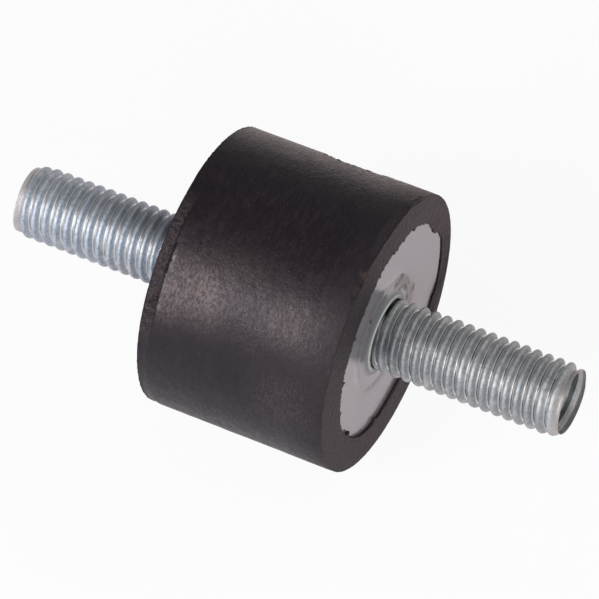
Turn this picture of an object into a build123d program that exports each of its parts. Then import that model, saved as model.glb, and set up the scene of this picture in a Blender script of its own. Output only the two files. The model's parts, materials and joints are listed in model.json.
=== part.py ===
from build123d import *
import os

# Cylindrical vibration mount: a rubber body moulded round two steel plates,
# with a threaded stud staked into each plate. Lengths are in millimetres.
# The studs share the X axis and the origin is the middle of the body. The
# part lies on its side with +Z up, and +X is the right end.

# Rubber body
rubber_diameter = 30.0
edge_chamfer = 0.25       # outer edge at each end
lip_width = 3.3           # ring of rubber that laps over each plate's outer face
lip_height = 0.4          # how far that ring stands proud of the plate
rim_length = 1.3          # rim beyond the mould's parting line, at the left end
rim_step = 0.12           # how much smaller the radius of that rim is

# Steel plates
plate_spacing = 20.0      # over the outer faces of the two plates
plate_thickness = 2.0
plate_cover = 1.5         # rubber round the rim of each plate
plate_edge = 0.3          # chamfer of the rim
bead_width = 0.6          # bead raised round the stud by the staking
bead_height = 0.25
stake_gap = 0.7           # flat between the bead and the mark of the staking tool
stake_width = 0.9
stake_depth = 0.12

# Studs, M8 with 1.25 mm pitch: the thread itself is left off
thread_diameter = 7.8     # over the crests
stud_reach = 21.0         # from the plate's outer face to the tip
tip_length = 0.9          # tapered lead-in
tip_step = 0.35           # how much the radius falls over it
neck_step = 0.3           # how much larger than the crests the pressed-in neck is
neck_recess = 0.4         # how far below the plate's outer face the neck ends
runout_length = 0.8       # thinner shank beyond the neck, where the thread runs out
runout_step = 0.35        # how much smaller than the crests it is
head_diameter = 14.0
head_thickness = 2.2
head_edge = 0.4           # chamfer of the head's inner edge

# Radii
rubber_radius = rubber_diameter / 2
rim_radius = rubber_radius - rim_step
lip_inner_radius = rubber_radius - lip_width
plate_radius = rubber_radius - plate_cover
thread_radius = thread_diameter / 2
neck_radius = thread_radius + neck_step
runout_radius = thread_radius - runout_step
head_radius = head_diameter / 2
bead_outer_radius = neck_radius + bead_width
stake_inner_radius = bead_outer_radius + stake_gap
stake_outer_radius = stake_inner_radius + stake_width

# Places along the axis at the right end, from the middle of the body
plate_face = plate_spacing / 2
plate_back = plate_face - plate_thickness
lip_face = plate_face + lip_height
head_back = plate_back - head_thickness
neck_end = plate_face - neck_recess
thread_start = neck_end + runout_length
stud_tip = plate_face + stud_reach


def turn(points):
    """Solid of revolution from an outline of (place along X, radius) points."""
    outline = make_face(Polyline(*points, close=True))
    return revolve(outline, Axis.X)


def ridge(inner_radius, outer_radius, rise):
    """Points across a ridge, or a groove, of the plate's face, drawn inwards."""
    slope = (outer_radius - inner_radius) / 3
    return [
        (plate_face, outer_radius),
        (plate_face + rise, outer_radius - slope),
        (plate_face + rise, inner_radius + slope),
        (plate_face, inner_radius),
    ]


def head_outline():
    """Inner end of a stud, up to where its head meets the plate."""
    return [
        (head_back, 0),
        (head_back, head_radius - head_edge),
        (head_back + head_edge, head_radius),
        (plate_back, head_radius),
    ]


def rim_outline():
    """Outer edge of a plate, from its inner face to its outer one."""
    return [
        (plate_back, plate_radius - plate_edge),
        (plate_back + plate_edge, plate_radius),
        (plate_face - plate_edge, plate_radius),
        (plate_face, plate_radius - plate_edge),
    ]


def right_plate():
    """Disc with the stud's hole, a staked bead round it and the tool's mark."""
    return turn(
        [
            (plate_back, neck_radius),
            *rim_outline(),
            *ridge(stake_inner_radius, stake_outer_radius, -stake_depth),
            *ridge(neck_radius, bead_outer_radius, bead_height),
        ]
    )


def right_stud():
    """Round head behind the plate, neck in its hole, then the shank over the crests."""
    return turn(
        [
            *head_outline(),
            (plate_back, neck_radius),
            (neck_end, neck_radius),
            (neck_end, runout_radius),
            (thread_start, runout_radius),
            (thread_start, thread_radius),
            (stud_tip - tip_length, thread_radius),
            (stud_tip, thread_radius - tip_step),
            (stud_tip, 0),
        ]
    )


def right_pocket():
    """The room that a plate and its stud's head take up in the rubber."""
    return turn([*head_outline(), *rim_outline(), (plate_face, 0)])


def at_left(solid):
    """The same solid, turned round to the left end."""
    return solid.rotate(Axis.Z, 180)


def rubber_body():
    """Cylinder with a lapping lip at each end, moulded round the plates and heads."""
    body = turn(
        [
            (-plate_face, 0),
            (-plate_face, lip_inner_radius),
            (-lip_face, lip_inner_radius),
            (-lip_face, rim_radius - edge_chamfer),
            (-lip_face + edge_chamfer, rim_radius),
            (-lip_face + rim_length, rim_radius),
            (-lip_face + rim_length, rubber_radius),
            (lip_face - edge_chamfer, rubber_radius),
            (lip_face, rubber_radius - edge_chamfer),
            (lip_face, lip_inner_radius),
            (plate_face, lip_inner_radius),
            (plate_face, 0),
        ]
    )
    pocket = right_pocket()
    return body - pocket - at_left(pocket)


parts = {
    "rubber_body": rubber_body(),
    "right_plate": right_plate(),
    "right_stud": right_stud(),
}
parts["left_plate"] = at_left(parts["right_plate"])
parts["left_stud"] = at_left(parts["right_stud"])

os.makedirs("parts", exist_ok=True)
for name, part in parts.items():
    export_step(part, f"parts/{name}.step")
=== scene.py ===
import json
import math
import random

import bpy
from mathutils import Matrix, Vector


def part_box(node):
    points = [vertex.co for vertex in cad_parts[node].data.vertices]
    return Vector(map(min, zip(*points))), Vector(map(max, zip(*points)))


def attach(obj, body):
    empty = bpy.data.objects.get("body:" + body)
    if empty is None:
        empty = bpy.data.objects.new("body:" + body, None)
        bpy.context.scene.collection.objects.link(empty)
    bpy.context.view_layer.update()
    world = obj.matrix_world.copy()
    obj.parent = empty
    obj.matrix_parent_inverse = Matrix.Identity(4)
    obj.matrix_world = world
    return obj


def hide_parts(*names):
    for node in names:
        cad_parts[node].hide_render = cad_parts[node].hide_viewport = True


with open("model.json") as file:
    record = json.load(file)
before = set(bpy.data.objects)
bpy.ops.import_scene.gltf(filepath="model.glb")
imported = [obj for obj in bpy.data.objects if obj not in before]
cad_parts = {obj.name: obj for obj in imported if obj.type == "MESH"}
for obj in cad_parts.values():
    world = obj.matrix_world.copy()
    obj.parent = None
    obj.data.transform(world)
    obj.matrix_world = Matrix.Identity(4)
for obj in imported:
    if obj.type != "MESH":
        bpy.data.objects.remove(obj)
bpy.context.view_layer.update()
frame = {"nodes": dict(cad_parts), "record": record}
print("frame loaded:", ", ".join(sorted(frame["nodes"])))

mm = 0.001

# places read from the frame, all at the right end; the left end is the same turned round
bodyLow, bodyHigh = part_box("rubber_body")
plateLow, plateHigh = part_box("right_plate")
studLow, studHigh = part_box("right_stud")
bodyRadius = bodyHigh.z
lipFace = bodyHigh.x
plateBack = plateLow.x
plateRadius = plateHigh.z
headBack = studLow.x
headRadius = studHigh.z
studTip = studHigh.x
seats = {mount["name"]: mount for mount in frame["record"]["mounts"]}
crestRadius = seats["right_stud"]["dims"]["r_mm"] * mm

topSide = math.radians(38.1)       # way round the axis, from +Y to +Z, of the outline's upper edge
nearSide = topSide + math.pi / 2   # and of the side that faces the camera


def deselectAll():
    if bpy.context.mode != "OBJECT":
        bpy.ops.object.mode_set(mode="OBJECT")
    bpy.ops.object.select_all(action="DESELECT")


def pick(piece):
    deselectAll()
    piece.select_set(True)
    bpy.context.view_layer.objects.active = piece


def nameIt(piece, name):
    piece.name = name
    piece.data.name = name
    return piece


def drawOutline(name, points):
    # a chain of edges in the XZ plane, pulled out point by point from one vertex
    deselectAll()
    bpy.ops.mesh.primitive_plane_add(size=mm)
    piece = nameIt(bpy.context.object, name)
    bpy.ops.object.mode_set(mode="EDIT")
    bpy.ops.mesh.select_mode(type="VERT")
    bpy.ops.mesh.merge(type="CENTER")
    here = Vector((points[0][0], 0, points[0][1]))
    bpy.ops.transform.translate(value=here)
    for along, radius in points[1:]:
        there = Vector((along, 0, radius))
        bpy.ops.mesh.extrude_region_move(TRANSFORM_OT_translate={"value": there - here})
        here = there
    bpy.ops.object.mode_set(mode="OBJECT")
    return piece


def turnOutline(piece, steps):
    # the outline goes once round X and the seam is welded
    pick(piece)
    turn = piece.modifiers.new("turn", "SCREW")
    turn.axis = "X"
    turn.angle = 2 * math.pi
    turn.steps = turn.render_steps = steps
    bpy.ops.object.modifier_apply(modifier=turn.name)
    bpy.ops.object.mode_set(mode="EDIT")
    weld()
    bpy.ops.object.mode_set(mode="OBJECT")


def weld():
    bpy.ops.mesh.select_all(action="SELECT")
    bpy.ops.mesh.remove_doubles(threshold=0.001 * mm)
    bpy.ops.mesh.normals_make_consistent(inside=False)


def combine(piece, tool, operation):
    pick(piece)
    change = piece.modifiers.new("combine", "BOOLEAN")
    change.operation = operation
    change.object = tool
    change.solver = "EXACT"
    bpy.ops.object.modifier_apply(modifier=change.name)
    bpy.data.objects.remove(tool)


def smooth(piece, degrees):
    pick(piece)
    bpy.ops.object.shade_smooth_by_angle(angle=math.radians(degrees))


def turnedCopy(piece, name, twist=0.0):
    # the same piece at the left end, twisted about its own axis first
    pick(piece)
    bpy.ops.object.duplicate()
    copy = nameIt(bpy.context.object, name)
    copy.rotation_euler = (twist, 0, math.pi)
    bpy.ops.object.transform_apply(location=False, rotation=True, scale=False)
    return copy


def arc(along, radius, size, first, last, steps):
    # points of an arc about (along, radius); degrees, 0 along +X and 90 away from the axis
    turns = [math.radians(first + (last - first) * n / steps) for n in range(steps + 1)]
    return [(along + size * math.cos(t), radius + size * math.sin(t)) for t in turns]


def ramp(value, low, high):
    share = min(1, max(0, (value - low) / (high - low)))
    return share * share * (3 - 2 * share)


stud = {
    "pitch": 1.25 * mm,
    "depth": 0.65 * mm,            # crest to root
    "rootRound": 0.12 * mm,
    "flank": 60.0,                 # degrees from the axis
    "headEdge": 0.4 * mm,
    "neckRadius": 4.2 * mm,
    "neckEnd": 9.6 * mm,
    "runoutRadius": 3.55 * mm,
    "runoutEnd": 10.7 * mm,
    "tipLength": 1.6 * mm,         # the thread gets lower over this length
    "tipHeight": 0.5,              # share of its height left at the end
    "tipRadius": 3.38 * mm,
    "tipEdge": 0.1 * mm,
    "steps": 72,                   # round one turn of the thread
    "rightCrest": 17.1 * mm,       # where a crest crosses the outline's upper edge
    "leftCrest": -21.43 * mm,
}


def threadOutline(start):
    # one turn from root to root: round root, straight flank, round crest, and back down
    pitch, depth, lean = stud["pitch"], stud["depth"], math.radians(stud["flank"])
    rootRadius = crestRadius - depth
    rounds = (pitch / 2 * math.tan(lean) - depth) / (
        math.tan(lean) * math.sin(lean) - (1 - math.cos(lean)))
    crestRound = rounds - stud["rootRound"]
    middle = start + pitch / 2
    rising = arc(start, rootRadius + stud["rootRound"], stud["rootRound"], -90, -90 + stud["flank"], 3)
    crest = arc(middle, crestRadius - crestRound, crestRound, 90 + stud["flank"], 90 - stud["flank"], 10)
    falling = [(2 * middle - along, radius) for along, radius in reversed(rising)]
    return rising + crest + falling


def makeStud(name):
    pitch = stud["pitch"]
    # the outline is drawn on the +Z side, a quarter turn from +Y
    ahead = pitch * (topSide - math.pi / 2) / (2 * math.pi)
    crest = stud["rightCrest"] - ahead
    first = stud["neckEnd"] - 2 * pitch
    start = first - (first - (crest - pitch / 2)) % pitch
    turns = math.ceil((studTip - start) / pitch) + 2
    piece = drawOutline(name, threadOutline(start))
    pick(piece)
    sweep = piece.modifiers.new("thread", "SCREW")
    sweep.axis = "X"
    sweep.screw_offset = pitch
    sweep.angle = 2 * math.pi
    sweep.iterations = turns
    sweep.steps = sweep.render_steps = stud["steps"]
    bpy.ops.object.modifier_apply(modifier=sweep.name)
    bpy.ops.object.mode_set(mode="EDIT")
    weld()
    # known fault: the finished stud is an open tube, with no face at its free end
    for place, side in ((stud["neckEnd"] - 0.3 * mm, 1), (studTip + 0.5 * mm, -1)):
        bpy.ops.mesh.select_all(action="SELECT")
        bpy.ops.mesh.bisect(plane_co=(place, 0, 0), plane_no=(side, 0, 0), clear_inner=True, use_fill=True)
    weld()
    bpy.ops.object.mode_set(mode="OBJECT")
    root = crestRadius - stud["depth"]
    for corner in piece.data.vertices:
        point = corner.co
        radius = math.hypot(point.y, point.z)
        lower = (1 - stud["tipHeight"]) * ramp(point.x, studTip - stud["tipLength"], studTip)
        if radius > root:
            shrink = (root + (radius - root) * (1 - lower)) / radius
            point.y *= shrink
            point.z *= shrink

    # the blank that the thread was rolled on: thin run-out, full shank, rounded tip
    clear = crestRadius + 0.05 * mm
    edge = stud["tipEdge"]
    before = stud["neckEnd"] - 1 * mm
    blank = drawOutline("blank", [
        (before, 0), (before, stud["runoutRadius"]),
        (stud["runoutEnd"] - 0.3 * mm, stud["runoutRadius"]), (stud["runoutEnd"], clear),
        (studTip - 1.3 * edge, clear), (studTip - 1.2 * edge, stud["tipRadius"] + 1.7 * edge),
        (studTip - 0.4 * edge, stud["tipRadius"] + edge), (studTip, stud["tipRadius"]), (studTip, 0)])
    turnOutline(blank, 2 * stud["steps"])
    combine(piece, blank, "INTERSECT")

    edge = stud["headEdge"]
    head = drawOutline("head", [
        (headBack, 0), (headBack, headRadius - edge), (headBack + edge, headRadius),
        (plateBack, headRadius), (plateBack, stud["neckRadius"]),
        (stud["neckEnd"], stud["neckRadius"]), (stud["neckEnd"], 0)])
    turnOutline(head, 2 * stud["steps"])
    combine(piece, head, "UNION")
    smooth(piece, 35)
    return piece


def leftTwist():
    # how far the turned copy is twisted so that its crests cross the upper edge where they should
    turns = (stud["leftCrest"] + stud["rightCrest"]) / stud["pitch"]
    return 2 * math.pi * turns + math.pi - 2 * topSide


rightStud = makeStud("RightStud")
leftStud = turnedCopy(rightStud, "LeftStud", leftTwist())
print("studs made:", len(rightStud.data.polygons), "faces each")


plate = {
    "thickness": 2.0 * mm,
    "edge": 0.3 * mm,
    "beadFoot": 5.3 * mm,          # collar squeezed up round the stud
    "beadOuter": 4.3 * mm,
    "beadInner": 3.73 * mm,
    "beadHeight": 0.34 * mm,
    "beadRound": 0.2 * mm,
    "markInner": 5.6 * mm,         # groove left by the staking tool
    "markOuter": 6.4 * mm,
    "markDepth": 0.06 * mm,
    "steps": 180,
}
plateFace = plateBack + plate["thickness"]


def hump(inner, outer, rise, steps=8):
    # a round ridge or groove across the face, from its outer edge to its inner one
    points = []
    for n in range(steps + 1):
        share = n / steps
        radius = outer + (inner - outer) * share
        points.append((plateFace + rise * math.sin(math.pi * share) ** 0.8, radius))
    return points


def makePlate(name):
    edge, hole = plate["edge"], stud["neckRadius"]
    back = [(plateBack, hole), (plateBack, plateRadius - edge)]
    rim = [(plateBack + edge, plateRadius), (plateFace - edge, plateRadius), (plateFace, plateRadius - edge)]
    face = [(plateFace, radius * mm) for radius in (13.1, 11, 9, 7.4)]
    mark = hump(plate["markInner"], plate["markOuter"], -plate["markDepth"])
    top, turn = plateFace + plate["beadHeight"], plate["beadRound"]
    slope = [(plateFace + 0.16 * mm * share ** 2, plate["beadFoot"] - 0.96 * mm * share)
             for share in (0, 0.2, 0.4, 0.6, 0.8, 1)]
    slope += arc(top - turn, plate["beadOuter"] - turn, turn, 60, 0, 4)
    lap = arc(top - turn * 0.5, plate["beadInner"] + turn * 0.5, turn * 0.5, 0, -90, 3)
    lap += [(stud["neckEnd"] + 0.08 * mm, plate["beadInner"]), (stud["neckEnd"] + 0.05 * mm, hole)]
    piece = drawOutline(name, back + rim + face + mark + slope + lap + [(plateBack, hole)])
    turnOutline(piece, plate["steps"])
    smooth(piece, 40)
    return piece


rightPlate = makePlate("RightPlate")
leftPlate = turnedCopy(rightPlate, "LeftPlate")
print("plates made")


rubber = {
    "edge": 0.04 * mm,             # rounding of the outer edges
    "lipReach": 9.0 * mm,          # the lips are moulded this far in, then torn
    "lipTorn": 0.05 * mm,          # how much the torn edge is thinned
    "lipPulled": 0.29 * mm,        # and on the far side, where the lip was pulled off the plate
    "tornReach": 0.7,              # mm from the torn edge that are thinned
    "pulledReach": 0.6,            # and this much more on the far side
    "tornTo": 14.85 * mm,
    "pulledTurns": (55, 92, 146, 152, 160, 175),  # degrees: comes in, a third less, ends
    "rimLength": 1.3 * mm,         # band beyond the parting line, at the left end
    "rimStep": 0.12 * mm,
    "rings": 96,                   # along the side
    # face rings in mm: radii on the lips, distances from the right edge, and from the parting line
    "lipRings": [9.4 + 0.4 * n for n in range(13)] + [14.45, 14.6, 14.72, 14.82, 14.9],
    "edgeRings": (0.1, 0.18, 0.28, 0.4, 0.5),
    "bandRings": (0.06, 0.18, 0.3, 0.42, 0.56, 0.7, 0.86, 1.02),
    "steps": 400,
    # hole torn in the right lip: (degrees from the near side towards the upper edge, radius in mm)
    "hole": [(-160, 11.2), (-120, 11.6), (-80, 11.1), (-40, 10.5), (-15, 10.2), (0, 10.2), (20, 10.35),
             (30, 10.95), (41, 10.9), (52, 11.0), (61, 11.25), (67.5, 11.55), (81, 11.63), (94, 11.93),
             (98, 12.05), (104, 12.0), (111, 12.24), (114, 12.64), (117, 12.93), (121, 13.15), (124, 13.42),
             (133, 13.5), (148, 13.55), (152.5, 13.15), (156, 12.75), (161, 12.7), (175, 11.7)],
    # teeth left standing in it, and slits where the length is negative: (degrees, length in mm, width in degrees)
    "teeth": [(-60, 0.4, 4), (-38, 0.6, 4), (-17, 0.3, 3), (-9.5, 0.5, 3), (-5, 0.25, 2), (5.5, 0.5, 2.5),
              (12, 0.2, 2), (17, -0.2, 3), (23, 0.2, 2), (28.5, 0.6, 2.6), (33, 0.2, 2), (38, 0.25, 2),
              (43.6, -0.6, 1.7),
              (46.5, 0.35, 2.5), (50, 0.4, 3.4), (58, 0.4, 3.6), (64, 0.15, 2), (72.5, 0.5, 4), (81, 0.12, 3),
              (88, 0.1, 3), (101, 0.12, 3), (108, 0.22, 5), (-90, 0.5, 4), (-130, 0.4, 4)],
    "fringe": (-100, 112, 3.2),    # finer teeth from here to there, this many degrees apart
    # the left lip's
    "leftHole": [(-150, 11.5), (-110, 11.9), (-60, 11.4), (-20, 11.8), (30, 11.2), (80, 11.7), (130, 12.1),
                 (170, 11.3)],
    "leftTeeth": [(-140, 0.5, 3), (-85, 0.4, 2), (-40, 0.6, 3), (-33, 0.3, 2), (10, 0.4, 2), (48, 0.7, 2.5),
                  (53, 0.3, 2), (95, 0.4, 2), (120, 0.5, 3), (160, 0.3, 2)],
    "leftFringe": (-170, 60, 2.4),
}
parting = -lipFace + rubber["rimLength"]


def between(points, angle):
    # smooth value at an angle between listed points that go once round
    for (a, low), (b, high) in zip(points[-1:] + points, points):
        share = ((angle - a) % 360) / ((b - a) % 360)
        if share <= 1:
            return low + (high - low) * share * share * (3 - 2 * share)


def tornRadius(angle, hole, teeth):
    radius = between(hole, angle)
    for place, length, width in teeth:
        away = abs((angle - place + 180) % 360 - 180)
        radius -= length * max(0, 1 - away / (width / 2))
    return radius * mm


def wayRound(point):
    # degrees round the axis, from the side that faces the camera towards the outline's upper edge
    return (math.degrees(nearSide - math.atan2(point.z, point.y)) + 180) % 360 - 180


def tearLip(body, hole, teeth, fringe, seed, side):
    # a ragged disc is cut out of the lip down to the plate
    dice = random.Random(seed)
    first, last, gap = fringe
    fine = list(teeth)
    place = first
    while place < last:
        steep = math.sin(math.radians(place)) ** 2
        fine.append((place, dice.uniform(0.03, 0.2) * (1.6 - steep), dice.uniform(1.0, 2.0) * (1 + steep)))
        place += gap * dice.uniform(0.5, 1.5)
    deselectAll()
    bpy.ops.mesh.primitive_circle_add(vertices=1080, radius=mm, fill_type="NGON",
        rotation=(0, math.pi / 2, 0))
    cutter = nameIt(bpy.context.object, "tear")
    bpy.ops.object.transform_apply(location=False, rotation=True, scale=False)
    for n, corner in enumerate(cutter.data.vertices):
        angle = wayRound(corner.co)
        ragged = ramp(angle, first - 5, first) * (1 - ramp(angle, last, last + 5))
        reach = tornRadius(angle, hole, fine) + dice.uniform(-0.05, 0.05) * mm * (0.15 + 0.85 * ragged)
        corner.co *= reach / corner.co.length
    bpy.ops.object.mode_set(mode="EDIT")
    bpy.ops.mesh.select_all(action="SELECT")
    bpy.ops.transform.translate(value=(side * (plateFace - 0.3 * mm), 0, 0))
    bpy.ops.mesh.extrude_region_move(TRANSFORM_OT_translate={"value": (side * 1 * mm, 0, 0)})
    weld()
    combine(body, cutter, "DIFFERENCE")
    # the torn edge is thinner than the moulded lip
    for corner in body.data.vertices:
        point = corner.co
        angle, radius = wayRound(point), math.hypot(point.y, point.z)
        if side * point.x > lipFace - 0.01 * mm and radius < rubber["tornTo"]:
            turns = rubber["pulledTurns"]
            pulled = ramp(angle, *turns[:2]) * (1 - 0.3 * ramp(angle, *turns[2:4])) * (1 - ramp(angle, *turns[4:]))
            reach = (rubber["tornReach"] + rubber["pulledReach"] * pulled) * mm
            inward = 1 - (radius - tornRadius(angle, hole, teeth)) / reach
            thin = rubber["lipTorn"] + (rubber["lipPulled"] - rubber["lipTorn"]) * pulled
            point.x -= side * thin * min(1, max(0, inward)) ** (2 - pulled)


def endOutline(reach):
    # from the axis out: pocket of the head, pocket of the plate, underside and edge of the lip
    edge = plate["edge"]
    return [
        (headBack, 0), (headBack, headRadius - stud["headEdge"]), (headBack + stud["headEdge"], headRadius),
        (plateBack, headRadius), (plateBack, plateRadius - edge), (plateBack + edge, plateRadius),
        (plateFace - edge, plateRadius), (plateFace, plateRadius - edge), (plateFace, reach),
        (lipFace, reach),
    ]


def makeBody(name):
    edge, rim = rubber["edge"], bodyRadius - rubber["rimStep"]
    rightEnd = endOutline(rubber["lipReach"])
    leftEnd = [(-along, radius) for along, radius in reversed(rightEnd)]
    ring = [(lipFace, radius * mm) for radius in rubber["lipRings"]]
    ringBack = [(-along, radius) for along, radius in reversed(ring)]
    rightEdge = arc(lipFace - edge, bodyRadius - edge, edge, 0, 90, 3)
    side = [(lipFace - step * mm, bodyRadius) for step in rubber["edgeRings"]]
    start, count = lipFace - rubber["edgeRings"][-1] * mm, rubber["rings"]
    side += [(start - (start - parting) * n / count, bodyRadius) for n in range(1, count + 1)]
    band = [(parting - step * mm, rim) for step in rubber["bandRings"]]
    leftEdge = arc(-lipFace + edge, rim - edge, edge, 90, 180, 3)
    piece = drawOutline(name, rightEnd + ring + rightEdge + side + band + leftEdge + ringBack + leftEnd)
    turnOutline(piece, rubber["steps"])
    return piece


wear = {
    "flushFrom": 33,               # degrees: beyond this the rim stands as high as the side
    "grooveFrom": -28,             # the parting line is open between these two
    "grooveTo": 4,
    "grooveDepth": 0.2 * mm,
    "trimTurn": 88.7,              # flash trimmed off flat along the upper edge
    "trimDepth": 0.24 * mm,
    "trimFrom": -2.45 * mm,
    "trimRise": 3.2 * mm,          # from here the flat rises to the side again
    "trimTo": 7.0 * mm,
    "crumbLength": 0.3 * mm,
    "crumbHeight": 0.22 * mm,
    "edgeWorn": 0.4 * mm,          # how far the right end's outer edge falls away over the last millimetre
    "edgeTurns": (22, 32, 50, 64),  # degrees: comes in, ends
    "nickDepth": 0.22 * mm,        # bits out of it
    "nicksNear": (12, 4, 8),       # degrees: middle, whole to, none from
    "nicksTop": (66, 2, 5),
    "relief": 0.05 * mm,           # unevenness of the whole skin
}


def press(piece, name, weights, depth, grain, contrast=1.0):
    # pushes the weighted part of the skin in by a cloudy pattern with a grain of that size
    group = piece.vertex_groups.new(name=name)
    for corner in piece.data.vertices:
        weight = weights(corner.co, wayRound(corner.co), math.hypot(corner.co.y, corner.co.z))
        if weight > 0:
            group.add([corner.index], min(weight, 1), "REPLACE")
    pattern = bpy.data.textures.new(name, "CLOUDS")
    pattern.noise_scale = grain
    pattern.noise_depth = 2
    pattern.contrast = contrast
    pick(piece)
    push = piece.modifiers.new(name, "DISPLACE")
    push.texture = pattern
    push.texture_coords = "LOCAL"
    push.vertex_group = name
    push.strength = -depth
    push.mid_level = 0
    bpy.ops.object.modifier_apply(modifier=push.name)
    bpy.data.textures.remove(pattern)
    piece.vertex_groups.clear()


def onSkin(radius):
    return radius > bodyRadius - 0.9 * mm


def reliefWeight(point, angle, radius):
    return 1 - 0.85 * ramp(point.x, 3.5 * mm, 7 * mm) if radius > bodyRadius - 0.45 * mm else 0


def nickWeight(point, angle, radius):
    if point.x < lipFace - 0.5 * mm or radius < bodyRadius - 0.35 * mm:
        return 0
    near, top = (1 - ramp(abs(angle - middle), whole, none)
                 for middle, whole, none in (wear["nicksNear"], wear["nicksTop"]))
    return 0.05 + 0.4 * near + top


def grooveWeight(point, angle, radius):
    if abs(point.x - parting) > 0.14 * mm or radius < bodyRadius - 0.3 * mm:
        return 0
    first, last = wear["grooveFrom"], wear["grooveTo"]
    return ramp(angle, first - 8, first + 6) * (1 - ramp(angle, last - 6, last + 6))


def wobble(table, place):
    # smooth random value between the numbers of the table
    low = math.floor(place)
    share = ramp(place - low, 0, 1)
    return table[low % len(table)] * (1 - share) + table[(low + 1) % len(table)] * share


def trimSink(along, angle, ragged):
    # how far the flat lies below the side; its left end slants, and a few crumbs stand on it
    start = wear["trimFrom"] - 0.03 * mm * (angle - wear["trimTurn"]) + 0.12 * mm * wobble(ragged, angle / 1.5)
    sink = wear["trimDepth"] * ramp(along, start, start + 0.25 * mm)
    sink *= 1 - ramp(along, wear["trimRise"], wear["trimTo"])
    crumbs = max(0, wobble(ragged, along / wear["crumbLength"] + 7 * math.floor(angle / 4)) - 0.1)
    uneven = 1 + 0.12 * wobble(ragged, along / (1.1 * mm) + 30)
    return sink * uneven - wear["crumbHeight"] * crumbs * ramp(sink, 0, 0.1 * mm)


def edgeFall(angle, ragged):
    worn = ramp(angle, *wear["edgeTurns"][:2]) * (1 - ramp(angle, *wear["edgeTurns"][2:]))
    uneven = 0.02 * mm * (1 + wobble(ragged, angle / 1.2))
    return wear["edgeWorn"] * worn * (0.9 + 0.2 * wobble(ragged, angle / 2)) + uneven


def wearBody(piece):
    # the rim steps down sharply only where the parting line is open, and not at all on its upper half
    rim = bodyRadius - rubber["rimStep"]
    first, last, flush = wear["grooveFrom"], wear["grooveTo"], wear["flushFrom"]
    for corner in piece.data.vertices:
        point = corner.co
        radius = math.hypot(point.y, point.z)
        if point.x < parting - 0.04 * mm and radius > plateRadius + 0.1 * mm:
            angle = wayRound(point)
            isOpen = ramp(angle, first - 15, first) * (1 - ramp(angle, last - 4, last + 8))
            reach = (0.12 + 0.9 * (1 - isOpen)) * mm
            step = ramp((parting - point.x) / reach, 0, 1)
            inside = 95 - abs(angle - 95)
            if inside > flush - 3:
                step *= 1 - ramp(inside, flush - 3, flush)
            grow = min(1 + (bodyRadius - rim) * (1 - step) / rim, bodyRadius / radius)
            point.y *= grow
            point.z *= grow
    # a finer net of faces where the flash was trimmed
    pick(piece)
    bpy.ops.object.mode_set(mode="EDIT")
    bpy.ops.mesh.select_mode(type="FACE")
    bpy.ops.mesh.select_all(action="DESELECT")
    bpy.ops.object.mode_set(mode="OBJECT")
    for face in piece.data.polygons:
        point = face.center
        face.select = onSkin(math.hypot(point.y, point.z)) and (
            wear["trimFrom"] - 0.4 * mm < point.x < wear["trimTo"] + 0.3 * mm) and 72 < wayRound(point) < 106
    bpy.ops.object.mode_set(mode="EDIT")
    bpy.ops.mesh.subdivide(number_cuts=1)
    bpy.ops.object.mode_set(mode="OBJECT")
    dice = random.Random(5)
    ragged = [dice.uniform(-1, 1) for n in range(160)]
    for corner in piece.data.vertices:
        point = corner.co
        radius = math.hypot(point.y, point.z)
        if not onSkin(radius):
            continue
        angle = wayRound(point)
        lowered = radius
        if abs(angle - wear["trimTurn"]) < 20 and wear["trimFrom"] - 1 * mm < point.x < wear["trimTo"]:
            flat = bodyRadius - trimSink(point.x, angle, ragged)
            lowered = min(radius, flat / math.cos(math.radians(angle - wear["trimTurn"])))
        atEdge = ramp(point.x, lipFace - 1 * mm, lipFace) * ramp(radius, 14.2 * mm, 14.9 * mm)
        lowered -= edgeFall(angle, ragged) * atEdge
        point.y *= lowered / radius
        point.z *= lowered / radius
    press(piece, "groove", grooveWeight, wear["grooveDepth"] * 2, 0.5 * mm)
    press(piece, "nicks", nickWeight, wear["nickDepth"], 0.35 * mm, 2.5)
    press(piece, "relief", reliefWeight, wear["relief"], 1.6 * mm)


rubberBody = makeBody("RubberBody")
wearBody(rubberBody)
tearLip(rubberBody, rubber["hole"], rubber["teeth"], rubber["fringe"], 3, 1)
tearLip(rubberBody, rubber["leftHole"], rubber["leftTeeth"], rubber["leftFringe"], 8, -1)
smooth(rubberBody, 40)
print("rubber body made:", len(rubberBody.data.polygons), "faces")


def makeGroup(name, inputs, output):
    # an empty group with its own inputs, one output, and the place on the piece in millimetres
    group = bpy.data.node_groups.new(name, "ShaderNodeTree")
    for label, start in inputs.items():
        socket = group.interface.new_socket(label, in_out="INPUT", socket_type="NodeSocketFloat")
        socket.default_value = start
    group.interface.new_socket(output, in_out="OUTPUT", socket_type="NodeSocketFloat")
    entry = group.nodes.new("NodeGroupInput")
    leave = group.nodes.new("NodeGroupOutput")
    place = group.nodes.new("ShaderNodeTexCoord")
    inMm = group.nodes.new("ShaderNodeVectorMath")
    inMm.operation = "SCALE"
    inMm.inputs["Scale"].default_value = 1 / mm
    group.links.new(place.outputs["Object"], inMm.inputs[0])
    return group, entry.outputs, leave.inputs[0], inMm.outputs[0]


def addMath(tree, operation, *values, clamp=False):
    # a Math node whose inputs are numbers or other nodes' outputs
    node = tree.nodes.new("ShaderNodeMath")
    node.operation = operation
    node.use_clamp = clamp
    for slot, value in zip(node.inputs, values):
        if isinstance(value, (int, float)):
            slot.default_value = value
        else:
            tree.links.new(value, slot)
    return node.outputs[0]


def addFade(tree, value, low, high):
    # 0 below low, 1 above high
    node = tree.nodes.new("ShaderNodeMapRange")
    node.inputs["From Min"].default_value = low
    node.inputs["From Max"].default_value = high
    tree.links.new(value, node.inputs["Value"])
    return node.outputs["Result"]


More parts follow.
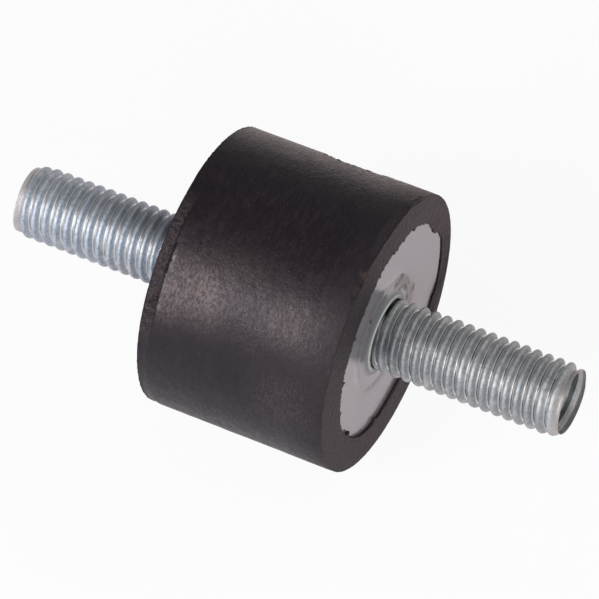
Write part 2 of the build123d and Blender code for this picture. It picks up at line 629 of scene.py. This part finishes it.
def addMix(tree, mask, under, over, blend="MIX"):
    # colours or numbers mixed by a mask
    node = tree.nodes.new("ShaderNodeMix")
    plain = isinstance(under, (int, float)) or isinstance(over, (int, float))
    node.data_type = "FLOAT" if plain else "RGBA"
    node.blend_type = blend
    kind = 2 if plain else 6
    for slot, value in ((node.inputs[0], mask), (node.inputs[kind], under), (node.inputs[kind + 1], over)):
        if isinstance(value, tuple):
            slot.default_value = value + (1,)
        elif isinstance(value, (int, float)):
            slot.default_value = value
        else:
            tree.links.new(value, slot)
    return node.outputs[0 if plain else 2]


def placeParts(tree, kind):
    # X, Y and Z of the point being shaded
    place = tree.nodes.new("ShaderNodeTexCoord")
    parts = tree.nodes.new("ShaderNodeSeparateXYZ")
    tree.links.new(place.outputs[kind], parts.inputs[0])
    return parts.outputs


def makeFlecks():
    # blotches of one size that cover more as Cover goes up
    group, given, out, place = makeGroup("flecks", {"Size": 1.0, "Cover": 0.5, "Soft": 0.1,
        "Detail": 2.0}, "Mask")
    noise = group.nodes.new("ShaderNodeTexNoise")
    links = group.links
    links.new(place, noise.inputs["Vector"])
    links.new(addMath(group, "DIVIDE", 1.0, given["Size"]), noise.inputs["Scale"])
    links.new(given["Detail"], noise.inputs["Detail"])
    edge = addMath(group, "SUBTRACT", 1.0, given["Cover"])
    above = addMath(group, "SUBTRACT", noise.outputs["Fac"], edge)
    links.new(addMath(group, "DIVIDE", above, given["Soft"], clamp=True), out)
    return group


def makeGrain():
    # fine streaks: Along and Across are their sizes along the axis and square to it
    group, given, out, place = makeGroup("grain", {"Along": 0.2, "Across": 0.2, "Detail": 3.0}, "Height")
    links = group.links
    sizes = group.nodes.new("ShaderNodeCombineXYZ")
    links.new(given["Along"], sizes.inputs["X"])
    links.new(given["Across"], sizes.inputs["Y"])
    links.new(given["Across"], sizes.inputs["Z"])
    fit = group.nodes.new("ShaderNodeVectorMath")
    fit.operation = "DIVIDE"
    links.new(place, fit.inputs[0])
    links.new(sizes.outputs[0], fit.inputs[1])
    noise = group.nodes.new("ShaderNodeTexNoise")
    noise.inputs["Scale"].default_value = 1.0
    links.new(fit.outputs[0], noise.inputs["Vector"])
    links.new(given["Detail"], noise.inputs["Detail"])
    links.new(noise.outputs["Fac"], out)
    return group


def makePatch():
    # 1 at one place of the piece, falling to 0 at its reaches: degrees round the axis, radius and
    # place along it in mm; Slant is how many mm the place moves along for each degree
    group, given, out, place = makeGroup("patch", {
        "Turn": 0.0, "TurnReach": 10.0, "Radius": 0.0, "RadiusReach": 1000.0, "Along": 0.0,
        "AlongReach": 1000.0,
        "Slant": 0.0, "Sharp": 1.0}, "Mask")
    links = group.links
    parts = group.nodes.new("ShaderNodeSeparateXYZ")
    links.new(place, parts.inputs[0])
    way = addMath(group, "ARCTAN2", parts.outputs["Z"], parts.outputs["Y"])
    way = addMath(group, "SUBTRACT", math.degrees(nearSide), addMath(group, "DEGREES", way))
    turned = addMath(group, "WRAP", addMath(group, "SUBTRACT", way, given["Turn"]), 180.0, -180.0)
    across = addMath(group, "POWER", parts.outputs["Y"], 2.0)
    radius = addMath(group, "SQRT", addMath(group, "ADD", across,
        addMath(group, "POWER", parts.outputs["Z"], 2.0)))
    moved = addMath(group, "MULTIPLY_ADD", turned, given["Slant"], given["Along"])
    mask = 1.0
    for value, middle, reach in ((turned, 0.0, "TurnReach"), (radius, given["Radius"], "RadiusReach"),
                                 (parts.outputs["X"], moved, "AlongReach")):
        away = addMath(group, "ABSOLUTE", addMath(group, "SUBTRACT", value, middle))
        near = addMath(group, "SUBTRACT", 1.0, addMath(group, "DIVIDE", away, given[reach]))
        near = addMath(group, "MULTIPLY", near, given["Sharp"], clamp=True)
        mask = addMath(group, "MULTIPLY", near, mask)
    links.new(mask, out)
    return group


flecks, grain, patch = makeFlecks(), makeGrain(), makePatch()


class Finish:
    # a material being put together: small helpers round its node tree
    def __init__(self, name):
        self.material = bpy.data.materials.new(name)
        self.material.use_nodes = True
        self.tree = self.material.node_tree
        self.nodes, self.links = self.tree.nodes, self.tree.links
        self.shader = self.nodes["Principled BSDF"]
        self.parts = placeParts(self.tree, "Object")

    def math(self, operation, *values, clamp=False):
        return addMath(self.tree, operation, *values, clamp=clamp)

    def times(self, first, second, clamp=False):
        return self.math("MULTIPLY", first, second, clamp=clamp)

    def scaled(self, value, factor, more):
        return self.math("MULTIPLY_ADD", value, factor, more)

    def rest(self, mask):
        return self.math("SUBTRACT", 1.0, mask)

    def use(self, group, **values):
        node = self.nodes.new("ShaderNodeGroup")
        node.node_tree = group
        for label, value in values.items():
            node.inputs[label].default_value = value
        return node.outputs[0]

    def fade(self, value, low, high):
        return addFade(self.tree, value, low, high)

    def radius(self):
        # distance from the axis in metres
        across = self.math("MULTIPLY", self.parts["Y"], self.parts["Y"])
        up = self.math("MULTIPLY_ADD", self.parts["Z"], self.parts["Z"], across)
        return self.math("SQRT", up)

    def blend(self, mask, under, over):
        return addMix(self.tree, mask, under, over)

    def bump(self, height, depth, before=None):
        node = self.nodes.new("ShaderNodeBump")
        node.inputs["Distance"].default_value = depth
        self.links.new(height, node.inputs["Height"])
        if before:
            self.links.new(before, node.inputs["Normal"])
        return node.outputs["Normal"]

    def wire(self, colour, roughness, normal):
        self.links.new(colour, self.shader.inputs["Base Color"])
        self.links.new(roughness, self.shader.inputs["Roughness"])
        self.links.new(normal, self.shader.inputs["Normal"])


black = {
    "skin": (0.0108, 0.0072, 0.0094),
    "scuffed": (0.036, 0.026, 0.029),
    "worn": (0.082, 0.062, 0.062),
    "bloomAndSheen": (0.172, 0.122, 0.117),
    "ring": (0.034, 0.024, 0.0265),
    "ringPale": (0.064, 0.045, 0.048),
    "ringDark": (0.018, 0.014, 0.016),
    "band": (0.019, 0.014, 0.016),
    "bandPale": (0.044, 0.034, 0.037),
    # near black: cracks and cuts, and painted shade in the parting groove and on the lip's wall
    "crackAndShade": (0.004, 0.0035, 0.004),
    "flake": (0.17, 0.15, 0.15),
    "tan": (0.12, 0.088, 0.062),
    "dust": (0.35, 0.34, 0.34),
    "smear": (0.085, 0.055, 0.043),
    "skinRough": 0.45,
    "ringRough": 0.65,
    # worn patches, which are also a painted highlight where they lie along the highlight band: (degrees round, reach,
    # mm along, reach, strength)
    "wornAndHighlightPatches": [(-12, 17, -6.5, 5.5, 0.9), (-12, 9, -3.8, 2.2, 0.6), (-20, 9, -8.4, 2.0, 0.7),
                    (-10, 13, 4.8, 4.0, 0.35), (4, 12, -2, 5, 0.15), (-42, 18, 6, 5, 0.3)],
    # flakes beside the parting line, the same way
    "flakes": [(-2, 4.5, -8.8, 0.3, 1.0), (-21, 4, -8.85, 0.25, 1.0), (-11, 7, -8.95, 0.16, 0.6)],
    # fine cuts: (degrees round, reach, mm along, reach, slant)
    "cuts": [(-8.5, 1.6, -7.4, 1.6, -0.9), (-12, 2.2, -6.9, 0.08, -0.3), (-4, 3.4, -7.6, 0.08, -0.3),
             (-15, 2.5, -4.8, 0.07, -0.25), (-17, 3.2, -7.9, 0.07, 0.15)],
}


def makeRubberFinish():
    look = Finish("moulded rubber")
    look.shader.inputs["IOR"].default_value = 1.41
    look.shader.inputs["Specular Tint"].default_value = (1.0, 0.9, 0.95, 1)
    along = look.parts["X"]
    ends = look.math("ABSOLUTE", along)
    onRing = look.fade(ends, lipFace - 0.08 * mm, lipFace - 0.03 * mm)
    inner = look.rest(look.fade(look.radius(), bodyRadius - 0.6 * mm, bodyRadius - 0.4 * mm))
    onRing = look.math("MAXIMUM", onRing, inner)
    left = look.rest(look.fade(along, parting - 0.02 * mm, parting + 0.02 * mm))
    # the band beyond the parting line stands out from the skin only where the line is open
    onBand = look.times(left, look.use(patch, Turn=-7, TurnReach=34, Sharp=3.0))
    onBand = look.times(onBand, look.rest(onRing))
    # hide: cloudy streaks round the body; pore: small lumps; fine: what blurs the gloss; mottle: worn and unworn bits
    hide = look.use(grain, Along=0.5, Across=1.5, Detail=4.0)
    pore = look.use(grain, Along=0.3, Across=0.38, Detail=3.0)
    fine = look.use(grain, Along=0.14, Across=0.24, Detail=2.0)
    mottle = look.fade(look.use(grain, Along=0.22, Across=0.46, Detail=6.0), 0.38, 0.62)
    pits = look.use(flecks, Size=0.17, Cover=0.46, Soft=0.1, Detail=2.0)
    cloud = look.use(flecks, Size=2.6, Cover=0.6, Soft=0.35, Detail=5.0)
    split = look.use(grain, Along=1.8, Across=0.5, Detail=4.0)
    split = look.math("ABSOLUTE", look.math("SUBTRACT", split, 0.5))
    cracks = look.times(look.rest(look.fade(split, 0.0, 0.022)), cloud)
    lumps = look.use(grain, Along=0.4, Across=0.5, Detail=4.0)

    def spots(rows):
        total = 0.0
        for turn, reach, place, length, strength in rows:
            spot = look.use(patch, Turn=turn, TurnReach=reach, Along=place, AlongReach=length, Sharp=1.3)
            total = look.scaled(spot, strength, total)
        return total

    # wear and painted highlight: pale worn patches along the highlight band lighten it, most at the left end
    worn = look.times(spots(black["wornAndHighlightPatches"]), look.scaled(mottle, 1.0, 0.16), clamp=True)
    scuff = look.times(look.times(cloud, look.fade(hide, 0.42, 0.68)), 0.4)
    colour = look.blend(scuff, black["skin"], black["scuffed"])
    colour = look.blend(worn, colour, black["worn"])
    tan = look.use(patch, Turn=-9, TurnReach=10, Along=-4.6, AlongReach=1.8)
    colour = look.blend(look.times(tan, look.times(mottle, 0.5)), colour, black["tan"])
    colour = look.blend(look.times(pits, 0.62), colour, black["skin"])
    bandTone = look.blend(look.fade(pore, 0.42, 0.66), black["band"], black["bandPale"])
    colour = look.blend(onBand, colour, look.blend(cracks, bandTone, black["crackAndShade"]))
    # dusty bloom and painted sheen: the skin along the outline's upper edge is painted paler, standing in for the
    # grazing reflection there
    bloomAndSheen = look.use(patch, Turn=98, TurnReach=40, Sharp=1.7)
    colour = look.blend(look.times(bloomAndSheen, look.scaled(mottle, 0.4, 0.6)), colour, black["bloomAndSheen"])
    # painted shade: a dark line is painted along the open part of the parting-line groove
    seamShade = look.use(patch, Turn=2, TurnReach=26, Along=parting / mm - 0.06, AlongReach=0.2, Sharp=1.6)
    colour = look.blend(seamShade, colour, black["crackAndShade"])
    flake = look.times(spots(black["flakes"]), look.fade(pore, 0.4, 0.55), clamp=True)
    colour = look.blend(flake, colour, black["flake"])
    blotch = look.use(flecks, Size=0.9, Cover=0.55, Soft=0.4, Detail=5.0)
    pale = look.use(patch, Turn=100, TurnReach=60, Sharp=1.5)
    dark = look.use(patch, Turn=5, TurnReach=24, Sharp=1.5)
    ringTone = look.blend(pale, black["ring"], black["ringPale"])
    ringTone = look.blend(look.times(dark, look.scaled(blotch, -0.3, 1.0)), ringTone, black["ringDark"])
    ringTone = look.blend(look.times(blotch, 0.3), ringTone, black["ringDark"])
    ringTone = look.blend(look.times(look.rest(mottle), 0.3), ringTone, black["ringDark"])
    ringTone = look.blend(look.times(pits, 0.34), ringTone, black["ringDark"])
    # painted shade: the wall of the lip where it was pulled off the plate is painted near black as deep shade
    wall = look.use(patch, Turn=132, TurnReach=28, Radius=12.4, RadiusReach=1.18, Sharp=6.0)
    wall = look.times(wall, look.rest(look.fade(along, lipFace - 0.3 * mm, lipFace - 0.26 * mm)))
    ringTone = look.blend(wall, ringTone, black["crackAndShade"])
    colour = look.blend(onRing, colour, ringTone)
    smear = look.use(patch, Turn=18, TurnReach=3, Radius=bodyRadius / mm, RadiusReach=0.5,
                     Along=lipFace / mm, AlongReach=0.9)
    smear = look.times(look.times(smear, look.fade(pore, 0.4, 0.55)), 0.8)
    colour = look.blend(smear, colour, black["smear"])
    dust = look.use(flecks, Size=0.16, Cover=0.225, Soft=0.03, Detail=1.0)
    colour = look.blend(look.times(dust, 0.4), colour, black["dust"])
    rough = look.scaled(hide, 0.24, black["skinRough"] - 0.17)
    rough = look.scaled(look.rest(mottle), 0.1, rough)
    rough = look.scaled(look.fade(along, 6 * mm, 10.2 * mm), 0.16, rough)
    rough = look.scaled(onBand, 0.12, rough)
    rough = look.blend(onRing, rough, look.scaled(fine, 0.2, black["ringRough"] - 0.1))
    normal = look.bump(hide, 0.07 * mm)
    normal = look.bump(pore, 0.025 * mm, normal)
    normal = look.bump(fine, 0.022 * mm, normal)
    normal = look.bump(look.times(onRing, lumps), 0.24 * mm, normal)
    leather = look.use(patch, Turn=92, TurnReach=52, Along=3.5, AlongReach=12.0, Sharp=1.6)
    normal = look.bump(look.times(lumps, leather), 0.13 * mm, normal)
    rugged = look.math("SUBTRACT", look.times(lumps, 3.0), cracks)
    normal = look.bump(look.times(rugged, onBand), 0.12 * mm, normal)
    cut = 0.0
    for turn, reach, place, width, slant in black["cuts"]:
        line = look.use(patch, Turn=turn, TurnReach=reach, Along=place, AlongReach=width, Slant=slant,
            Sharp=2.0)
        cut = look.math("MAXIMUM", line, cut)
    colour = look.blend(look.times(cut, 0.7), colour, black["crackAndShade"])
    look.wire(colour, rough, normal)
    return look.material


zinc = {
    "plate": (0.292, 0.282, 0.306),
    "plateWarm": (0.306, 0.274, 0.29),
    "stain": (0.03, 0.02, 0.023),
    "olive": (0.165, 0.16, 0.135),
    "cream": (0.36, 0.295, 0.265),
    "collar": (0.21, 0.23, 0.238),
    "crest": (0.92, 0.94, 0.90),
    "leftThread": (0.555, 0.61, 0.665),
    "leftDull": (0.405, 0.445, 0.495),
    # the right stud's colours are a darker copy of the left's, as painted shade for the dimmer light on it
    "rightThread": (0.47, 0.49, 0.50),
    "rightDull": (0.35, 0.36, 0.365),
    "leftRoot": (0.36, 0.345, 0.335),
    "rightRoot": (0.12, 0.118, 0.115),
    "gap": (0.02, 0.02, 0.02),
    "shade": (0.16, 0.165, 0.19),
    "pale": (0.76, 0.75, 0.76),
    "flank": (0.88, 0.87, 0.86),
    "worn": (0.5, 0.42, 0.36),
    "speck": (0.1, 0.1, 0.1),
    "plateRough": 0.2,
    "crestRough": 0.58,
    "flankRough": 0.42,
    # marks of the staking tool: (degrees round, reach, radius in mm, reach, strength)
    "smudges": [(84, 3.2, 6.06, 0.28, 1.5), (80, 2.8, 6.22, 0.22, 1.2), (76.6, 3.2, 5.66, 0.15, 1.1),
                (68.4, 2.2, 5.86, 0.35, 0.8), (67.6, 3.4, 5.24, 0.32, 1.6), (72.6, 3.6, 5.16, 0.26, 1.5),
                (76, 2.6, 5.2, 0.18, 0.9), (84.5, 3.8, 4.72, 0.18, 1.7), (89, 5, 4.86, 0.2, 1.2),
                (99, 9, 5.06, 0.18, 1.4), (108.5, 7, 5.35, 0.18, 1.3), (115, 5, 5.6, 0.2, 0.9),
                (114, 5, 6.13, 0.28, 0.6), (128.6, 4, 6.92, 0.34, 1.3), (130, 7, 5.38, 0.42, 1.0),
                (134, 6, 5.6, 0.5, 0.5), (5.5, 3, 5.8, 0.6, 0.7), (-2, 3, 5.3, 0.5, 0.6),
                (-120, 25, 6.0, 0.5, 0.6), (170, 20, 5.8, 0.4, 0.5)],
}


def makePlateFinish():
    look = Finish("satin zinc")
    radius = look.radius()
    wide = look.use(flecks, Size=5.0, Cover=0.55, Soft=0.25, Detail=2.0)
    colour = look.blend(wide, zinc["plate"], zinc["plateWarm"])
    # the staking tool's mark: an olive scar above the stud, a cream one beside it, and the collar
    inner = look.rest(look.fade(radius, 5.2 * mm, 7.2 * mm))
    cloud = look.use(flecks, Size=0.5, Cover=0.66, Soft=0.3, Detail=4.0)
    scar = look.use(patch, Turn=94, TurnReach=27, Radius=5.7, RadiusReach=0.75, Sharp=2.5)
    scar = look.times(scar, look.scaled(cloud, 0.5, 0.5))
    colour = look.blend(look.times(scar, 0.9), colour, zinc["olive"])
    cream = look.use(patch, Turn=131, TurnReach=18, Radius=5.6, RadiusReach=1.7, Sharp=2.0)
    colour = look.blend(look.times(cream, look.scaled(cloud, 0.6, 0.3)), colour, zinc["cream"])
    collar = look.rest(look.fade(radius, 4.4 * mm, 4.85 * mm))
    colour = look.blend(collar, colour, zinc["collar"])
    # painted highlight: a near-white line round the front of the collar's crest
    crest = look.rest(look.fade(radius, 4.14 * mm, 4.26 * mm))
    crest = look.times(crest, look.use(patch, Turn=0, TurnReach=100, Sharp=1.6))
    colour = look.blend(crest, colour, zinc["crest"])
    # the chromate over the zinc scatters much of the light, and the collar's crest, painted as a highlight, nearly
    # all of it
    look.links.new(look.scaled(crest, -0.3, 0.34), look.shader.inputs["Metallic"])
    marks = 0.0
    for turn, reach, place, width, strength in zinc["smudges"]:
        mark = look.use(patch, Turn=turn, TurnReach=reach * 1.5, Radius=place, RadiusReach=width * 1.5,
            Sharp=1.6)
        marks = look.math("MAXIMUM", look.times(mark, strength), marks)
    ragged = look.use(grain, Along=0.25, Across=0.25, Detail=4.0)
    marks = look.fade(look.scaled(ragged, 1.8, marks), 1.3, 1.85)
    colour = look.blend(look.times(marks, 0.85), colour, zinc["stain"])
    speck = look.use(flecks, Size=0.24, Cover=0.34, Soft=0.05, Detail=2.0)
    marked = look.times(look.math("MAXIMUM", cream, scar), 0.55)
    colour = look.blend(look.times(speck, look.scaled(inner, 0.15, marked)), colour, zinc["stain"])
    # rings left by turning, and a fine grain
    turned = look.math("SINE", look.times(radius, 2 * math.pi / (0.55 * mm)))
    fine = look.use(grain, Along=0.3, Across=0.3, Detail=3.0)
    rough = look.scaled(fine, 0.14, zinc["plateRough"] - 0.07)
    rough = look.scaled(look.math("MAXIMUM", marked, collar), 0.25, rough)
    normal = look.bump(fine, 0.012 * mm)
    normal = look.bump(look.times(cloud, marked), 0.12 * mm, normal)
    normal = look.bump(look.times(turned, look.fade(fine, 0.4, 0.7)), 0.0015 * mm, normal)
    look.wire(colour, rough, normal)
    return look.material


def makeThreadFinish(name, bright, dull, root):
    look = Finish(name)
    look.shader.inputs["Metallic"].default_value = 1
    radius = look.radius()
    ends = look.math("ABSOLUTE", look.parts["X"])
    shank = look.rest(look.fade(ends, studTip - 1.8 * mm, studTip - 1.2 * mm))
    tip = look.fade(ends, studTip - 1.3 * mm, studTip - 0.2 * mm)
    low = look.rest(look.fade(radius, crestRadius - 0.58 * mm, crestRadius - 0.46 * mm))
    low = look.times(low, shank)
    deep = look.rest(look.fade(radius, crestRadius - 0.642 * mm, crestRadius - 0.615 * mm))
    mottle = look.use(flecks, Size=0.3, Cover=0.6, Soft=0.2, Detail=6.0)
    wide = look.use(flecks, Size=1.5, Cover=0.5, Soft=0.2, Detail=4.0)
    bits = look.use(flecks, Size=0.22, Cover=0.5, Soft=0.16, Detail=3.0)
    colour = look.blend(mottle, dull, bright)
    colour = look.blend(look.times(wide, 0.5), colour, zinc["pale"])
    colour = look.blend(look.times(bits, 0.35), colour, dull)
    # painted highlight: the lower flanks next to each root are painted near-white, giving the bright lines along the
    # roots
    colour = look.blend(low, colour, zinc["flank"])
    colour = look.blend(look.times(deep, look.scaled(wide, -0.3, 1.0)), colour, root)
    speck = look.use(flecks, Size=0.26, Cover=0.34, Soft=0.05, Detail=2.0)
    colour = look.blend(look.times(speck, 0.45), colour, zinc["speck"])
    colour = look.blend(look.times(tip, 0.6), colour, zinc["pale"])
    colour = look.blend(look.times(tip, look.scaled(wide, -0.4, 0.4)), colour, zinc["worn"])
    # painted shade and reflection: each stud is darkened on one side near the body, where the dark body is reflected,
    # and where it leaves its collar
    shade = look.use(patch, Turn=42, TurnReach=42, Along=-11.0, AlongReach=17.0, Sharp=1.3)
    lower = look.use(patch, Turn=-18, TurnReach=28, Along=10.6, AlongReach=3.6, Sharp=1.3)
    shade = look.times(look.math("MAXIMUM", shade, lower), 0.64)
    colour = look.blend(shade, colour, zinc["shade"])
    # painted shade: the hollow where the thread leaves the collar is painted near black on its upper side
    gap = look.rest(look.fade(ends, 10.42 * mm, 10.55 * mm))
    gap = look.times(gap, look.use(patch, Turn=70, TurnReach=56, Sharp=3.0))
    colour = look.blend(gap, colour, zinc["gap"])
    rough = look.blend(low, zinc["crestRough"], zinc["flankRough"])
    fine = look.use(grain, Along=0.16, Across=0.22, Detail=4.0)
    rough = look.scaled(fine, 0.2, look.math("SUBTRACT", rough, 0.1))
    normal = look.bump(fine, 0.05 * mm)
    look.wire(colour, rough, normal)
    return look.material


rubberFinish, zincPlate = makeRubberFinish(), makePlateFinish()
brightThread = makeThreadFinish("bright zinc", zinc["leftThread"], zinc["leftDull"], zinc["leftRoot"])
# the right stud's finish is the same zinc painted darker, as painted shade
shadedGreyThread = makeThreadFinish("shaded grey zinc", zinc["rightThread"], zinc["rightDull"], zinc["rightRoot"])

outfit = [
    (rubberBody, rubberFinish, "rubber_body", "rubber"),
    (rightPlate, zincPlate, "right_plate", "plate_steel"),
    (leftPlate, zincPlate, "left_plate", "plate_steel"),
    (rightStud, shadedGreyThread, "right_stud", "stud_steel"),
    (leftStud, brightThread, "left_stud", "stud_steel"),
]
for piece, material, node, slot in outfit:
    piece.data.materials.clear()
    piece.data.materials.append(material)
    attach(piece, "root")
    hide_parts(node)
print("finishes given")


studio = {
    "floorSize": 6.0,
    "floorColour": 0.8,
    "floorGlow": 0.92,             # share of plain white that the camera sees on it
    "mirrored": 0.85,              # the same for reflections
    "tintInFront": (0.6, 0.76, 0.92),   # reflections find the floor bluer in front and warmer behind
    "tintBehind": (1.0, 0.92, 0.93),
    "tintTurns": (-0.06, 0.0),     # between these places on Y
    # what reflections find: (height from 0, level, to 1, overhead; colour)
    "sky": [(0.02, (0.85, 0.82, 0.82)), (0.3, (0.26, 0.25, 0.255)), (0.5, (0.08, 0.074, 0.076)),
            (0.95, (0.085, 0.1, 0.125))],
    "rightSky": (0.34, 0.34, 0.33),  # and towards the right end
    "skyTurns": (-0.15, 0.35),     # the share of X over which it comes in
}


def rayShare(tree, mirrored):
    # 1 for rays from the camera, and a smaller share for reflected and refracted ones
    path = tree.nodes.new("ShaderNodeLightPath").outputs
    bounced = addMath(tree, "MAXIMUM", path["Is Glossy Ray"], path["Is Transmission Ray"])
    return addMath(tree, "MULTIPLY_ADD", bounced, mirrored, path["Is Camera Ray"])


def whiteToCamera(tree, colour):
    path = tree.nodes.new("ShaderNodeLightPath").outputs
    return addMix(tree, path["Is Camera Ray"], colour, (1.0, 1.0, 1.0))


def makeFloor():
    deselectAll()
    bpy.ops.mesh.primitive_plane_add(size=studio["floorSize"], location=(0, 0, -bodyRadius - 0.02 * mm))
    floor = nameIt(bpy.context.object, "Floor")
    bpy.ops.object.transform_apply(location=True)
    material = bpy.data.materials.new("pale floor")
    material.use_nodes = True
    tree = material.node_tree
    tree.nodes.clear()
    paper = tree.nodes.new("ShaderNodeBsdfDiffuse")
    paper.inputs["Color"].default_value = (studio["floorColour"],) * 3 + (1,)
    behind = addFade(tree, placeParts(tree, "Object")["Y"], *studio["tintTurns"])
    tint = addMix(tree, behind, studio["tintInFront"], studio["tintBehind"])
    glow = tree.nodes.new("ShaderNodeEmission")
    tree.links.new(whiteToCamera(tree, tint), glow.inputs["Color"])
    share = addMath(tree, "MULTIPLY", rayShare(tree, studio["mirrored"]), studio["floorGlow"])
    mix = tree.nodes.new("ShaderNodeMixShader")
    out = tree.nodes.new("ShaderNodeOutputMaterial")
    tree.links.new(share, mix.inputs[0])
    tree.links.new(paper.outputs[0], mix.inputs[1])
    tree.links.new(glow.outputs[0], mix.inputs[2])
    tree.links.new(mix.outputs[0], out.inputs["Surface"])
    floor.data.materials.append(material)


def makeWorld():
    world = bpy.data.worlds.new("studio")
    bpy.context.scene.world = world
    world.use_nodes = True
    tree = world.node_tree
    tree.nodes.clear()
    place = placeParts(tree, "Generated")
    shade = tree.nodes.new("ShaderNodeValToRGB")
    stops = shade.color_ramp.elements
    for height, colour in studio["sky"][1:-1]:
        stops.new(height)
    for stop, (height, colour) in zip(stops, studio["sky"]):
        stop.position = height
        stop.color = colour + (1,)
    tree.links.new(place["Z"], shade.inputs[0])
    toRight = addFade(tree, place["X"], *studio["skyTurns"])
    sky = addMix(tree, toRight, shade.outputs["Color"], studio["rightSky"], "LIGHTEN")
    back = tree.nodes.new("ShaderNodeBackground")
    tree.links.new(whiteToCamera(tree, sky), back.inputs["Color"])
    out = tree.nodes.new("ShaderNodeOutputWorld")
    tree.links.new(back.outputs[0], out.inputs["Surface"])


lamps = {
    # name: (degrees round, degrees up, distance, width, height, watts, colour)
    "key": (-25, 31, 0.5, 0.24, 0.2, 1.9, (1.0, 0.985, 1.0)),
    "front": (31, 28, 0.5, 0.2, 0.2, 0.8, (1.0, 0.985, 1.0)),
    "fill": (150, 50, 0.8, 0.5, 0.4, 1.0, (0.95, 0.97, 1.0)),
}


def onSphere(round_, up, distance):
    # degrees round from -Y towards +X, and degrees above the floor
    a, e = math.radians(round_), math.radians(up)
    return distance * Vector((math.sin(a) * math.cos(e), -math.cos(a) * math.cos(e), math.sin(e)))


def makeLamps():
    for name, (round_, up, distance, width, height, watts, colour) in lamps.items():
        deselectAll()
        place = onSphere(round_, up, distance)
        bpy.ops.object.light_add(type="AREA", location=place,
            rotation=place.to_track_quat("Z", "Y").to_euler())
        lamp = nameIt(bpy.context.object, name)
        lamp.data.shape = "RECTANGLE"
        lamp.data.size = width
        lamp.data.size_y = height
        lamp.data.energy = watts
        lamp.data.color = colour


view = {
    "azimuth": 26.69,
    "elevation": 48.73,
    "distance": 505.5 * mm,
    "aim": Vector((0.37, 0.15, -0.03)) * mm,
    "lens": 298.1,
}


def makeCamera():
    deselectAll()
    place = view["aim"] + onSphere(view["azimuth"], view["elevation"], view["distance"])
    tilt = (math.radians(90 - view["elevation"]), 0, math.radians(view["azimuth"]))
    bpy.ops.object.camera_add(location=place, rotation=tilt)
    camera = bpy.context.object
    camera.data.lens = view["lens"]
    camera.data.sensor_width = 36
    camera.data.clip_start = 0.01
    bpy.context.scene.camera = camera


makeFloor()
makeWorld()
makeLamps()
makeCamera()
bpy.context.scene.view_settings.view_transform = "Standard"
print("floor, light and camera placed")
